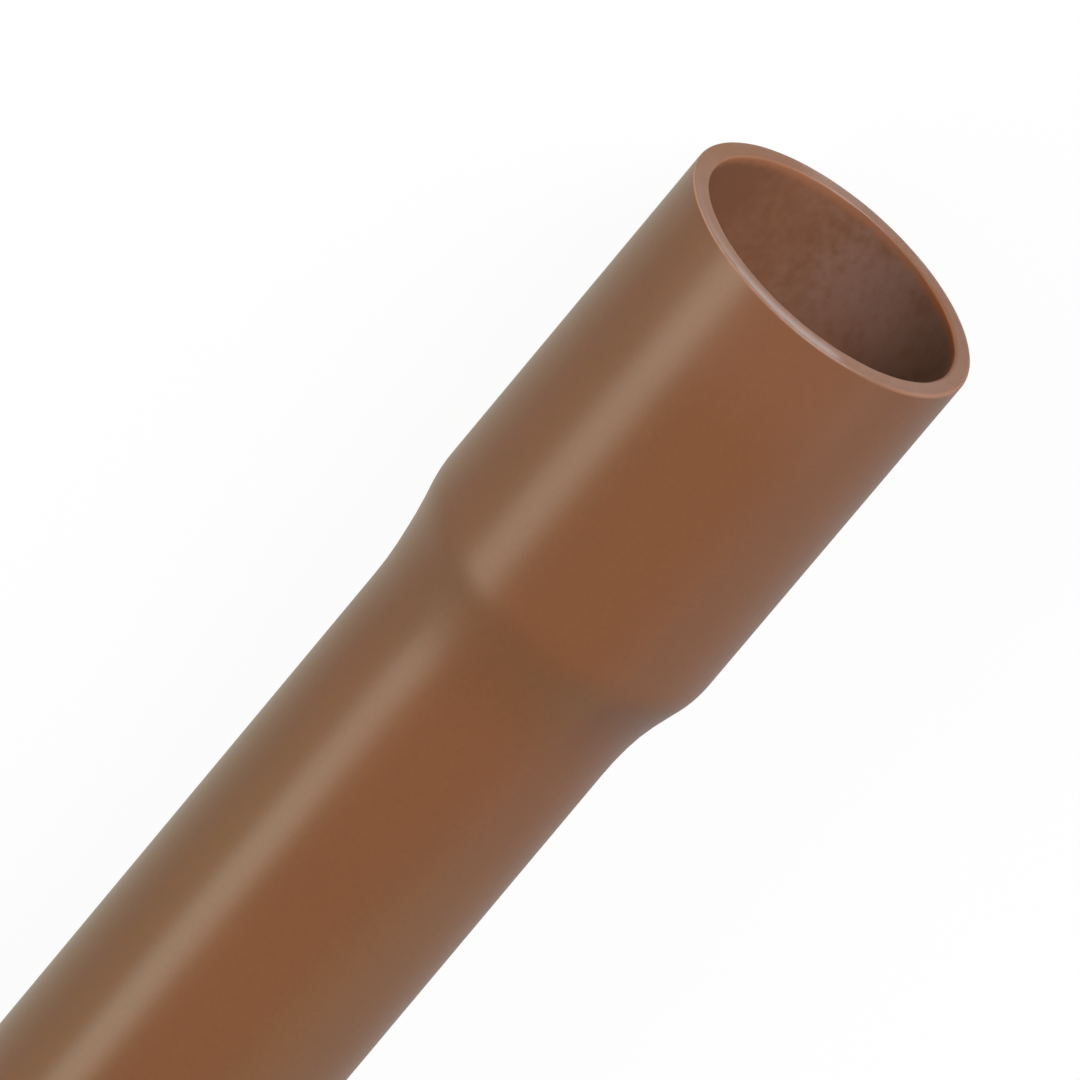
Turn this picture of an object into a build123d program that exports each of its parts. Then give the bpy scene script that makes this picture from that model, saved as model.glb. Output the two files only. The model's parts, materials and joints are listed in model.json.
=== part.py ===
from build123d import *

import os
from math import atan2, radians, tan

# A plain length of rigid brown PVC cold-water pipe, extruded in one piece.
# One end was softened and pushed over a mandrel, which made the socket and its shoulder.
# The other end is a chamfered plain end, and fits the socket of the next length.
# Millimetres. The pipe lies along X with its axis on the X axis.
# The socket's mouth faces +X, and its centre is the origin.

# The extruded pipe
pipe_length = 3000.0
pipe_outer_d = 25.0
pipe_wall = 1.7

# The formed socket: its inside is a cylinder, and its wall thins a little towards the root
socket_gap = 0.15
socket_length = 36.6
mouth_wall = 1.65
root_wall = 1.58

# The shoulder between socket and pipe, measured between the corners that its two bends round off
shoulder_length = 6.7
shoulder_top_bend = 11.5
shoulder_foot_bend = 34.5

# The deburred edges of the cut mouth, and the chamfer of the plain end
mouth_outer_round = 0.2
mouth_inner_round = 0.2
chamfer_length = 2.5
chamfer_angle = 15.0


def half_turn_tangent(rise, run):
    """Tangent of half the angle that a line of this rise and run makes with the axis."""
    return tan(atan2(rise, run) / 2)


def outer_points():
    """Outer corners from the mouth to the plain end, each with its radius."""
    pipe_r = pipe_outer_d / 2
    socket_r = pipe_r + socket_gap
    foot_x = socket_length + shoulder_length
    end_r = pipe_r - chamfer_length * tan(radians(chamfer_angle))
    return [
        ((0, socket_r + mouth_wall), mouth_outer_round),
        ((-socket_length, socket_r + root_wall), shoulder_top_bend),
        ((-foot_x, pipe_r), shoulder_foot_bend),
        ((chamfer_length - pipe_length, pipe_r), 0),
        ((-pipe_length, end_r), 0),
    ]


def inner_points():
    """Inner corners from the plain end back to the mouth, parallel to the outside at each bend."""
    bore_r = pipe_outer_d / 2 - pipe_wall
    socket_r = pipe_outer_d / 2 + socket_gap
    lean = half_turn_tangent(socket_gap + root_wall, shoulder_length)
    foot_x = socket_length + shoulder_length - pipe_wall * lean
    root_x = socket_length - root_wall * lean
    return [
        ((-pipe_length, bore_r), 0),
        ((-foot_x, bore_r), shoulder_foot_bend + pipe_wall),
        ((-root_x, socket_r), shoulder_top_bend - root_wall),
        ((0, socket_r), mouth_inner_round),
    ]


def make_pipe():
    """The wall's section, turned once about the pipe's axis."""
    corners = outer_points() + inner_points()
    points = [point for point, _ in corners]
    bends = [bend for _, bend in corners]
    outline = FilletPolyline(*points, radius=bends, close=True)
    section = make_face(outline.edges())
    return revolve(section, axis=Axis.X)


pipe = make_pipe()
os.makedirs("parts", exist_ok=True)
export_step(pipe, "parts/pipe.step")
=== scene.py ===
import json
import math

import bpy
from mathutils import Matrix, Vector


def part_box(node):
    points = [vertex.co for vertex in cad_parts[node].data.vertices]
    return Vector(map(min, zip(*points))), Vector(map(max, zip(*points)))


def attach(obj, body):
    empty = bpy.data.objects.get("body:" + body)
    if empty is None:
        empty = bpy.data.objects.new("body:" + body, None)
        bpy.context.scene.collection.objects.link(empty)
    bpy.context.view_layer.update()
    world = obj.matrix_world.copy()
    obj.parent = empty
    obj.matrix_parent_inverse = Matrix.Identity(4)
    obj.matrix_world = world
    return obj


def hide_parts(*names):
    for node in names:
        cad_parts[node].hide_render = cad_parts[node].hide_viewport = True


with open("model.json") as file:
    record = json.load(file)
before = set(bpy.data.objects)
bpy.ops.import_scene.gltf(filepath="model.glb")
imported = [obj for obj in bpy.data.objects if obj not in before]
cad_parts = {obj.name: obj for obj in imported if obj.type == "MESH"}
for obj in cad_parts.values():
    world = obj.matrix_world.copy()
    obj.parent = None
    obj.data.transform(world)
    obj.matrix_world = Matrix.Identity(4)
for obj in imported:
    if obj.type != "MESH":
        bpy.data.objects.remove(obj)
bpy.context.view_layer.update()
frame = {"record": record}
scene = bpy.context.scene
scene.view_settings.view_transform = "Standard"

# The pipe: one extruded length of rigid brown PVC. One end was softened and pushed over a mandrel,
# which left a socket with an S-shaped shoulder. Its mouth was sawn a little out of square and scraped
# by hand, and the plain end was chamfered to go into the next socket
mm = 0.001
mounts = {mount["name"]: mount for mount in frame["record"]["mounts"]}
barrel_r = mounts["spigot"]["dims"]["r_mm"] * mm
bore_r = mounts["waterway"]["dims"]["r_mm"] * mm
socket_r = mounts["socket"]["dims"]["r_mm"] * mm
pipe_low, pipe_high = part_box("pipe")
mouth_x, plain_x = pipe_high.x, pipe_low.x
mouth_r = pipe_high.y
barrel_wall = barrel_r - bore_r
root_wall = 1.58 * mm
socket_length = 36.6 * mm
shoulder_length = 6.7 * mm
top_bend = 11.5 * mm
foot_bend = 34.5 * mm
chamfer_length = 2.5 * mm
chamfer_angle = math.radians(15)
plain_edge_round = 0.15 * mm

root_r = socket_r + root_wall
root_x = mouth_x - socket_length
foot_x = root_x - shoulder_length
foot_lean = math.tan(math.atan2(root_r - barrel_r, shoulder_length) / 2)
plain_r = barrel_r - chamfer_length * math.tan(chamfer_angle)

# How far the real pipe is from true: the mouth and the shoulder stand askew, the barrel is set off to
# the left just behind them, and the saw left a low lip inside the top half of the mouth
mouth_askew = 0.0243
root_askew = 0.033
set_off = 0.25 * mm
set_off_length = 107 * mm
lip_height = 0.3 * mm
lip_width = 1.1 * mm
lip_depth = 0.3 * mm

# The mouth's scraped edges: how narrow and how wide each one is, at which angle round the pipe it is
# widest, and how far its width ripples
outer_scrape = {"narrow": 0.2 * mm, "wide": 0.46 * mm, "widest_at": math.radians(210), "ripple": 0.03 * mm}
inner_scrape = {"narrow": 0.24 * mm, "wide": 0.55 * mm, "widest_at": math.radians(95), "ripple": 0.04 * mm}


def scraped(angle, narrow, wide, widest_at, ripple, strokes=(5, 9, 14, 23)):
    """Width of a hand-scraped edge at an angle round the pipe."""
    share = 0.5 + 0.5 * math.cos(angle - widest_at)
    waves = sum(math.sin(count * (angle + count)) for count in strokes) / len(strokes)
    return narrow + (wide - narrow) * share + ripple * waves


def wall_corners(angle):
    """Corners of the wall's section, from the mouth along the outside and back inside, each with its bend."""
    return [
        (mouth_x, mouth_r, scraped(angle, **outer_scrape)),
        (root_x, root_r, top_bend),
        (foot_x, barrel_r, foot_bend),
        (plain_x + chamfer_length, barrel_r, plain_edge_round),
        (plain_x, plain_r, plain_edge_round),
        (plain_x, bore_r, plain_edge_round),
        (foot_x + barrel_wall * foot_lean, bore_r, foot_bend + barrel_wall),
        (root_x + root_wall * foot_lean, socket_r, top_bend - root_wall),
        (mouth_x, socket_r, scraped(angle, **inner_scrape)),
    ]


def bend_points(before, corner, after, bend, step=math.radians(3)):
    """Points along the arc that rounds a corner of the section."""
    into = (corner - before) / abs(corner - before)
    away = (after - corner) / abs(after - corner)
    turn = math.atan2((away / into).imag, (away / into).real)
    start = corner - into * bend * math.tan(abs(turn) / 2)
    centre = start + into * (1j if turn > 0 else -1j) * bend
    count = max(2, math.ceil(abs(turn) / step))
    spokes = [turn * i / count for i in range(count + 1)]
    return [centre + (start - centre) * complex(math.cos(a), math.sin(a)) for a in spokes]


def run_shares(start, end, ring_step=60 * mm, edge_step=0.2 * mm, mouth_rings=12, mouth_hold=0.04):
    """Where a straight run of the section is divided: close to both of its ends, and evenly between them."""
    run = end - start
    hair = 0.01 * mm
    across_mouth = start.real > mouth_x - hair and abs(run.real) < hair
    hold = mouth_hold if across_mouth else min(edge_step / abs(run), 0.25)
    count = mouth_rings if across_mouth else max(1, math.ceil(abs(run) / ring_step))
    return [hold] + [k / count for k in range(1, count)] + [1 - hold]


def section_points(corners):
    """Closed outline of the wall's section, with its corners rounded and its straight runs divided."""
    places = [complex(x, r) for x, r, _ in corners]
    arcs = []
    for i, (_, _, bend) in enumerate(corners):
        arcs.append(bend_points(places[i - 1], places[i], places[(i + 1) % len(places)], bend))
    points = []
    for i, arc in enumerate(arcs):
        start, end = arc[-1], arcs[(i + 1) % len(arcs)][0]
        points += arc + [start + (end - start) * share for share in run_shares(start, end)]
    return points


def held(share):
    """A share held between 0 and 1."""
    return min(max(share, 0), 1)


def eased(share):
    """A share held between 0 and 1, with a smooth rise between them."""
    return held(share) ** 2 * (3 - 2 * held(share))


def as_made(x, r, angle):
    """Place of a point of the wall on the real pipe, askew and set off, with the lip at its mouth."""
    on_socket = eased((x - foot_x) / (root_x - foot_x))
    fade = held(1 - (foot_x - x) / set_off_length)
    askew = mouth_askew + (root_askew - mouth_askew) * min((mouth_x - x) / (mouth_x - root_x), 1)
    lean = askew * (mouth_r - r * math.cos(angle)) * fade
    at_lip = eased(1 - (r - socket_r) / lip_width) if x > mouth_x - lip_depth else 0
    lip = lip_height * max(math.sin(angle), 0) * at_lip
    y = r * math.cos(angle) + set_off * (1 - on_socket) * fade
    return min(x + lip - lean, mouth_x), y, r * math.sin(angle)


def row_weight(x, inside):
    """How much of the texture map a millimetre of the section gets: most at the ends, least on the barrel."""
    if x > mouth_x - 2 * mm:
        return 12
    if x > foot_x - 16 * mm:
        return 0.6 if inside else 1
    return 6 if x < plain_x + 4 * mm else 0.01 if inside else 0.03


def pipe_mesh(name, sides):
    """The wall turned about its axis, with a texture map whose rows run round the pipe."""
    spokes = [2 * math.pi * k / sides for k in range(sides)]
    sections = [section_points(wall_corners(angle)) for angle in spokes]
    rows = len(sections[0])
    verts = [as_made(s[i].real, s[i].imag, a) for i in range(rows) for s, a in zip(sections, spokes)]
    outline = sections[0] + sections[0][:1]
    heights = [0.0]
    for here, there in zip(outline, outline[1:]):
        middle = (here + there) / 2
        wall_middle = bore_r + 0.5 * barrel_wall + (socket_r - bore_r) * (middle.real > foot_x)
        heights.append(heights[-1] + abs(there - here) * row_weight(middle.real, middle.imag < wall_middle))
    faces, places = [], []
    for i in range(rows):
        row, following = i * sides, (i + 1) % rows * sides
        low, high = heights[i] / heights[-1], heights[i + 1] / heights[-1]
        for k in range(sides):
            beside = (k + 1) % sides
            faces.append((row + k, row + beside, following + beside, following + k))
            start, end = k / sides, (k + 1) / sides
            places += [start, low, end, low, end, high, start, high]
    mesh = bpy.data.meshes.new(name)
    mesh.from_pydata(verts, [], faces)
    mesh.uv_layers.new(name="OFBake").uv.foreach_set("vector", places)
    mesh.shade_smooth()
    return mesh


pipe = bpy.data.objects.new("pipe_body", pipe_mesh("pipe_body", sides=240))
scene.collection.objects.link(pipe)


class Wire:
    """A socket of a node tree. Arithmetic on wires adds Math nodes, or Vector Math nodes on vectors."""

    def __init__(self, tree, socket=None):
        self.tree, self.socket = tree, socket

    def node(self, kind, settings=None, inputs=None, out=0):
        """Adds a node, with its settings first and then the values or links of its sockets."""
        made = self.tree.nodes.new(kind)
        for name, value in (settings or {}).items():
            setattr(made, name, value)
        for name, value in (inputs or {}).items():
            if isinstance(value, Wire):
                self.tree.links.new(value.socket, made.inputs[name])
            else:
                made.inputs[name].default_value = value
        return Wire(self.tree, made.outputs[out] if made.outputs else None)

    def reckon(self, operation, first, second):
        """Arithmetic on two values, at least one of which is this wire."""
        settings, values = {"operation": operation}, (first, second)
        if self.socket.type != "VECTOR":
            return self.node("ShaderNodeMath", settings, dict(enumerate(values)))
        values = [(v, v, v) if isinstance(v, (int, float)) else v for v in values]
        return self.node("ShaderNodeVectorMath", settings, dict(enumerate(values)))

    def __add__(self, other):
        return self.reckon("ADD", self, other)

    def __radd__(self, other):
        return self.reckon("ADD", other, self)

    def __sub__(self, other):
        return self.reckon("SUBTRACT", self, other)

    def __rsub__(self, other):
        return self.reckon("SUBTRACT", other, self)

    def __mul__(self, other):
        return self.reckon("MULTIPLY", self, other)

    def __rmul__(self, other):
        return self.reckon("MULTIPLY", other, self)

    def split(self):
        """The three components of a vector."""
        parts = self.node("ShaderNodeSeparateXYZ", {}, {0: self}).socket.node.outputs
        return [Wire(self.tree, part) for part in parts]

    def step(self, low, high):
        """0 below low and 1 above high, with a smooth rise between."""
        settings = {"interpolation_type": "SMOOTHSTEP"}
        return self.node("ShaderNodeMapRange", settings, {"Value": self, "From Min": low, "From Max": high})

    def between(self, first, second):
        """Mixes two values by this wire, from 0 for the first to 1 for the second."""
        return first + (second - first) * self

    def blend(self, first, second):
        """Mixes two colours by this wire."""
        return self.node("ShaderNodeMix", {"data_type": "RGBA"}, {0: self, 6: first, 7: second}, out=2)

    def cover(self, first, second):
        """Mixes two shaders by this wire."""
        return self.node("ShaderNodeMixShader", {}, {0: self, 1: first, 2: second})

    def noise(self, scale, detail):
        """Noise about 0, from -0.5 to 0.5, read at this vector."""
        return self.node("ShaderNodeTexNoise", {}, {"Vector": self, "Scale": scale, "Detail": detail}) - 0.5


def empty_tree(owner):
    """Clears the nodes of a material or a world, and returns its tree as a wire to start from."""
    owner.use_nodes = True
    owner.node_tree.nodes.clear()
    return Wire(owner.node_tree)


def finish(colour, rough, height):
    """A shiny plastic surface with its own relief, whose height is in metres."""
    relief = height.node("ShaderNodeBump", {}, {"Strength": 1.0, "Distance": 1.0, "Height": height})
    inputs = {"Base Color": colour, "Roughness": rough, "IOR": 1.53, "Normal": relief}
    return height.node("ShaderNodeBsdfPrincipled", {}, inputs)


# The skin: satin, with faint lines along it from the die, a slight orange peel from cooling and cloudy
# gloss. The heated socket is a little duller, and its first centimetre paler on top. The barrel has
# greenish dust along both sides and, farther back, marks where it rubbed on its neighbours
micron = 0.001 * mm
pvc = bpy.data.materials.new("brown_pvc")
tree = empty_tree(pvc)
place = tree.node("ShaderNodeTexCoord", out="Object")
facing = tree.node("ShaderNodeTexCoord", out="Normal").split()[0]
x, y = place.split()[:2]
outward = tree.node("ShaderNodeVectorMath", {"operation": "NORMALIZE"}, {0: place * (0, 1, 1)})
radius = tree.node("ShaderNodeVectorMath", {"operation": "LENGTH"}, {0: place * (0, 1, 1)}, out="Value")
left, top = outward.split()[1:]
right, bottom = 0 - left, 0 - top

die_lines = (outward + place * (0.11, 0, 0)).noise(26, 3)
peel = place.noise(900, 1.5)
grain = place.noise(2600, 1)
sag = place.noise(40, 1)
cloud = place.noise(70, 2)
streak = (outward * 0.9 + place * (1.4, 0, 0)).noise(5, 2)
heated = x.step(foot_x - 25 * mm, foot_x)
pale = x.step(mouth_x - 14 * mm, mouth_x - 5 * mm) * top.step(0.65, 0.8)
dust = (left * left).step(0.02, 0.22) * (1 - x.step(mouth_x - 66 * mm, mouth_x - 50 * mm))
rubbed = 1 - x.step(mouth_x - 400 * mm, mouth_x - 200 * mm)
rub = (place * (40, 900, 900)).noise(1, 2).step(0.17, 0.24) * rubbed
shade = streak + cloud * 0.8 + peel * 0.6 + grain * 1.6 + 0.5
skin_colour = shade.blend((0.207, 0.0805, 0.0318, 1), (0.232, 0.087, 0.0322, 1))
skin_colour = (dust * (0.07 + cloud * 0.06)).blend(skin_colour, (0.21, 0.19, 0.065, 1))
skin_colour = (rub * 0.25).blend(skin_colour, (0.32, 0.19, 0.12, 1))
skin_colour = (pale * 0.055).blend(skin_colour, (0.5, 0.26, 0.2, 1))
skin_rough = 0.30 + cloud * 0.07 + die_lines * 0.04 + heated * 0.02 + rub * 0.15
skin_height = die_lines * (2 * micron) + peel * (1.6 * micron) + sag * (42 * micron)
skin = finish(skin_colour, skin_rough, skin_height)

# The bore: pressed smooth by the mandrel, but patchy, with faint drag marks along it. Its colour is darkened
# on its left and on its right as painted shade, and it is paler and greyer all over, most of all in a pale
# patch towards its right in its first centimetre or so, which is a painted reflection
mottle = (place * (0.6, 1, 1)).noise(210, 4)
scuffs = (place * (0.8, 1, 1)).noise(1200, 3)
drag = (outward + place * (3, 0, 0)).noise(9, 3)
# Painted shade: the bore's colour is darkened towards its left
painted_shade_left = left.step(0.45, 1) * 0.9
# Painted shade: the bore's colour is darkened and greyed towards its right
painted_shade_right = right.step(0.4, 1) * 0.7
# Painted reflection: a pale, grey patch towards the right of the first centimetre or so, over a paler tint
# all round
reflection_patch = 1 - (left + 0.43) * (left + 0.43) * 1.8 + mottle * 1.8 + scuffs * 1.5 + drag * 0.5
pallor_and_reflection = reflection_patch.step(0, 1.2) * 0.85 * x.step(mouth_x - 16 * mm, mouth_x - 5 * mm) + 0.19
shade = mottle * 0.9 + scuffs * 1.5 + 0.6 - painted_shade_left
bore_colour = shade.blend((0.199, 0.079, 0.038, 1), (0.256, 0.109, 0.059, 1))
bore_colour = painted_shade_right.blend(bore_colour, (0.15, 0.085, 0.048, 1))
bore_colour = (pallor_and_reflection * 0.55).blend(bore_colour, (0.30, 0.185, 0.15, 1))
bore_rough = 0.40 + mottle * 0.30 + scuffs * 0.2 + drag * 0.08
bore_height = mottle * (44 * micron) + scuffs * (9 * micron)
bore = finish(bore_colour, bore_rough, bore_height)

# The sawn mouth: dull, with fine saw marks straight across it and a patchy haze, which is partly a painted
# sheen that varies round the mouth. On the lip at the top it is painted whitish, a painted reflection on the
# lip's rounded edge, and it is worn at the bottom towards the outside
teeth = (place * (0, 0.35, 1)).noise(4200, 2)
smear = place.noise(520, 2)
across = (radius - socket_r) * (1 / (mouth_r - socket_r))
# Partly painted sheen: the pale haze is set stronger or weaker at given angles round the mouth, over a patchy
# haze
haze_and_sheen = top.step(0, 0.7) * 0.11 + bottom.step(0.75, 0.95) * 0.1 + right.step(0.6, 1) * 0.06
haze_and_sheen = haze_and_sheen + (left * 0.26 + bottom * 0.97).step(0.95, 1) * 0.15
haze_and_sheen = haze_and_sheen - (left * 0.87 + bottom * 0.5).step(0.85, 1) * 0.12
haze_and_sheen = haze_and_sheen + smear * 0.2 + 0.07
worn = bottom.step(0.1, 0.7) * (across + smear * 0.4).step(0.5, 0.95) * 0.25
# Painted reflection: the lip at the top is painted whitish where its rounded edge would reflect the light
reflection_span = (left + smear * 0.1).step(-0.42, -0.3) * (1 - (left + smear * 0.5).step(0.1, 0.95))
on_lip = across.step(0.25, 0.7) * (1 - (across + smear * 0.3).step(0.75, 1))
painted_lip_reflection = reflection_span * top.step(0, 0.4) * on_lip
shade = smear * 1.4 + teeth * 0.8 + 0.5
sawn_colour = shade.blend((0.182, 0.075, 0.035, 1), (0.216, 0.089, 0.043, 1))
sawn_colour = (painted_lip_reflection * 0.9 + haze_and_sheen + worn).blend(sawn_colour, (0.31, 0.233, 0.213, 1))
sawn = finish(sawn_colour, 0.46 + teeth * 0.16 + smear * 0.1, teeth * (14 * micron))

# Its scraped edges: a blade went round them in short strokes. Outside they are painted palest to the left,
# a painted highlight where the rounded edge catches the light. Inside, the blade left a band about a
# millimetre wide, painted warm and bright as a painted glow through the thin edge, most orange on the right
wall_middle = x.step(foot_x, root_x).between((bore_r + barrel_r) / 2, (socket_r + root_r) / 2)
inside = (wall_middle - radius).step(-0.1 * mm, 0.1 * mm)
stroke = outward.noise(14, 3)
depth = mouth_x - x - (mouth_r - y) * mouth_askew
# Painted highlight: the outer scraped edge is painted palest to the left, and paler to the right
edge_catchlight = (left + stroke).step(-0.2, 0.9) + right.step(0.55, 0.85) * 0.4
outer_colour = edge_catchlight.blend((0.22, 0.096, 0.05, 1), (0.40, 0.20, 0.13, 1))
# Painted glow: the band inside the mouth is painted warm and bright beyond its first 0.3 mm, most orange on
# the right
inner_colour = depth.step(0, 0.3 * mm).blend((0.205, 0.093, 0.052, 1), (0.36, 0.147, 0.074, 1))
painted_glow = right.step(0.2, 0.9) * depth.step(0, 0.3 * mm)
inner_colour = painted_glow.blend(inner_colour, (0.46, 0.15, 0.045, 1))
edge = finish(inside.blend(outer_colour, inner_colour), 0.46 + stroke * 0.12, stroke * (50 * micron))

# The plain end: dull and paler where it was cut and chamfered, with the cutter's rings round it
ring_pitch = 0.22 * mm
rings = tree.node("ShaderNodeMath", {"operation": "SINE"}, {0: x * (2 * math.pi / ring_pitch)})
end_colour = (smear + 0.5).blend((0.25, 0.11, 0.06, 1), (0.30, 0.145, 0.09, 1))
plain_end = finish(end_colour, 0.5 + smear * 0.15, rings * (3 * micron))

# Where each finish is on the pipe: the skin and the bore meet in the middle of the wall, and the
# others lie over them
at_mouth = x.step(mouth_x - 3 * mm, mouth_x - 2.5 * mm)
knifed = 1 - (depth + stroke * (0.5 * mm)).step(0.2 * mm, 1.25 * mm)
at_edge = inside.between(facing.step(0.06, 0.3), knifed) * at_mouth
at_saw = facing.step(0.78, 0.92) * at_mouth
at_end = (0 - facing).step(0.1, 0.2) * (1 - x.step(plain_x + 3 * mm, plain_x + 4 * mm))
surface = inside.cover(skin, bore)
surface = at_edge.cover(surface, edge)
surface = at_saw.cover(surface, sawn)
surface = at_end.cover(surface, plain_end)
tree.node("ShaderNodeOutputMaterial", {}, {"Surface": surface})
pipe.data.materials.append(pvc)
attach(pipe, "root")
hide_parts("pipe")

# The floor: wide and white, right under the pipe. It shows as white and keeps a faint shadow of the
# pipe. Its reflection is brightest just left of the pipe, and slightly green on all of that side
reach = 40.0
floor_corners = [(-reach, -reach, 0), (reach, -reach, 0), (reach, reach, 0), (-reach, reach, 0)]
floor_mesh = bpy.data.meshes.new("floor")
floor_mesh.from_pydata(floor_corners, [], [(0, 1, 2, 3)])
floor = bpy.data.objects.new("floor", floor_mesh)
floor.location.z = pipe_low.z
scene.collection.objects.link(floor)
white = bpy.data.materials.new("white_floor")
tree = empty_tree(white)
to_camera = tree.node("ShaderNodeLightPath", out="Is Camera Ray")
to_gloss = tree.node("ShaderNodeLightPath", out="Is Glossy Ray")
to_left = tree.node("ShaderNodeTexCoord", out="Object").split()[1]
beside_pipe = to_left.step(-0.02, 0.02)
farther_off = to_left.step(0.03, 0.1)
paint = to_gloss.blend((0.7, 0.7, 0.7, 1), (0.2, 0.2, 0.2, 1))
paint = to_camera.blend(paint, (0.95, 0.95, 0.95, 1))
matte = tree.node("ShaderNodeBsdfDiffuse", {}, {"Color": paint})
glow_colour = (beside_pipe * to_gloss).blend((1, 1, 1, 1), (1.0, 1.06, 0.9, 1))
glow = tree.node("ShaderNodeEmission", {}, {"Color": glow_colour, "Strength": 1.0})
glow_share = to_camera * 0.95 + to_gloss * (beside_pipe * 0.24 - farther_off * 0.2 + 0.4)
tree.node("ShaderNodeOutputMaterial", {}, {"Surface": glow_share.cover(matte, glow)})
white.cycles.emission_sampling = "NONE"
floor_mesh.materials.append(white)

# The room: it shows as white and lights the pipe dimly from all round. Its reflection is dimmer
# overhead, and slightly green to the left and towards the plain end
room = bpy.data.worlds.new("room")
tree = empty_tree(room)
scene.world = room
to_camera = tree.node("ShaderNodeLightPath", out="Is Camera Ray")
to_gloss = tree.node("ShaderNodeLightPath", out="Is Glossy Ray")
to_mouth, to_left, upward = tree.node("ShaderNodeTexCoord", out="Generated").split()
reflected = upward.step(0, 0.9).between(0.66, 0.27)
level = to_camera.between(to_gloss.between(0.14, reflected), 1.0)
on_left = to_left.step(0.1, 0.5)
towards_plain_end = (0 - to_mouth).step(0.45, 0.8)
tinted = to_gloss * (on_left + towards_plain_end * (1 - on_left))
tint = tinted.blend((1, 1, 1, 1), (1.0, 1.15, 0.88, 1))
sky = tree.node("ShaderNodeBackground", {}, {"Color": tint, "Strength": level})
tree.node("ShaderNodeOutputWorld", {}, {"Surface": sky})


def lamp(name, direction, distance, length, width, power, colour=(1, 1, 1)):
    """A soft rectangular lamp that faces the mouth from far off, with its length along the pipe."""
    data = bpy.data.lights.new(name, "AREA")
    data.shape = "RECTANGLE"
    data.size, data.size_y = length, width
    data.color = colour
    data.energy = power
    made = bpy.data.objects.new(name, data)
    scene.collection.objects.link(made)
    back = Vector(direction).normalized()
    along = Vector((1, 0, 0))
    along = (along - back * along.dot(back)).normalized()
    turn = Matrix((along, back.cross(along), back)).transposed().to_4x4()
    made.matrix_world = Matrix.Translation(back * distance) @ turn
    made.visible_camera = False
    return made


# The lamps: a softbox on the left, which only the gloss shows, a wash from the same place for the
# matte light, and two large ones out in front of the mouth, to its right
softbox_angle = math.radians(50.1)
softbox_side = (-0.35, math.sin(softbox_angle), math.cos(softbox_angle))
softbox_tint = (0.88, 0.96, 0.84)
softbox = lamp("side_softbox", softbox_side, 15.3, length=10, width=6.6, power=600, colour=softbox_tint)
softbox.visible_diffuse = False
wash = lamp("side_wash", softbox_side, 15.3, length=10, width=6.6, power=1220)
wash.visible_glossy = False
lamp("key", (2.2, -0.9, 1.6), 30, length=14, width=14, power=9400)
lamp("front", (1.9, -1.0, 0.55), 29, length=10, width=10, power=1300)

# The camera: far off with a long lens, above the pipe and out in front of its mouth, and rolled so
# that the pipe runs up to the right as in the photograph
photo_size = 1080
mouth_pixel = (835.75, 265.25)
pixels_per_m = 12225.0
view_angle = math.radians(65.6)
roll = math.radians(50.0)
camera_distance = 3.5
sensor_width = 36
back = Vector((math.cos(view_angle), 0, math.sin(view_angle)))
ahead = Vector((math.sin(view_angle), 0, -math.cos(view_angle)))
beside = back.cross(ahead)
across_photo = ahead * math.cos(roll) - beside * math.sin(roll)
up_photo = ahead * math.sin(roll) + beside * math.cos(roll)
offset = (mouth_pixel[0] - photo_size / 2, photo_size / 2 - mouth_pixel[1])
aim = -(across_photo * offset[0] + up_photo * offset[1]) / pixels_per_m
camera_data = bpy.data.cameras.new("camera")
camera_data.sensor_width = sensor_width
camera_data.lens = sensor_width * camera_distance * pixels_per_m / photo_size
camera_data.clip_end = 100
camera = bpy.data.objects.new("camera", camera_data)
scene.collection.objects.link(camera)
turn = Matrix((across_photo, up_photo, back)).transposed().to_4x4()
camera.matrix_world = Matrix.Translation(aim + back * camera_distance) @ turn
scene.camera = camera
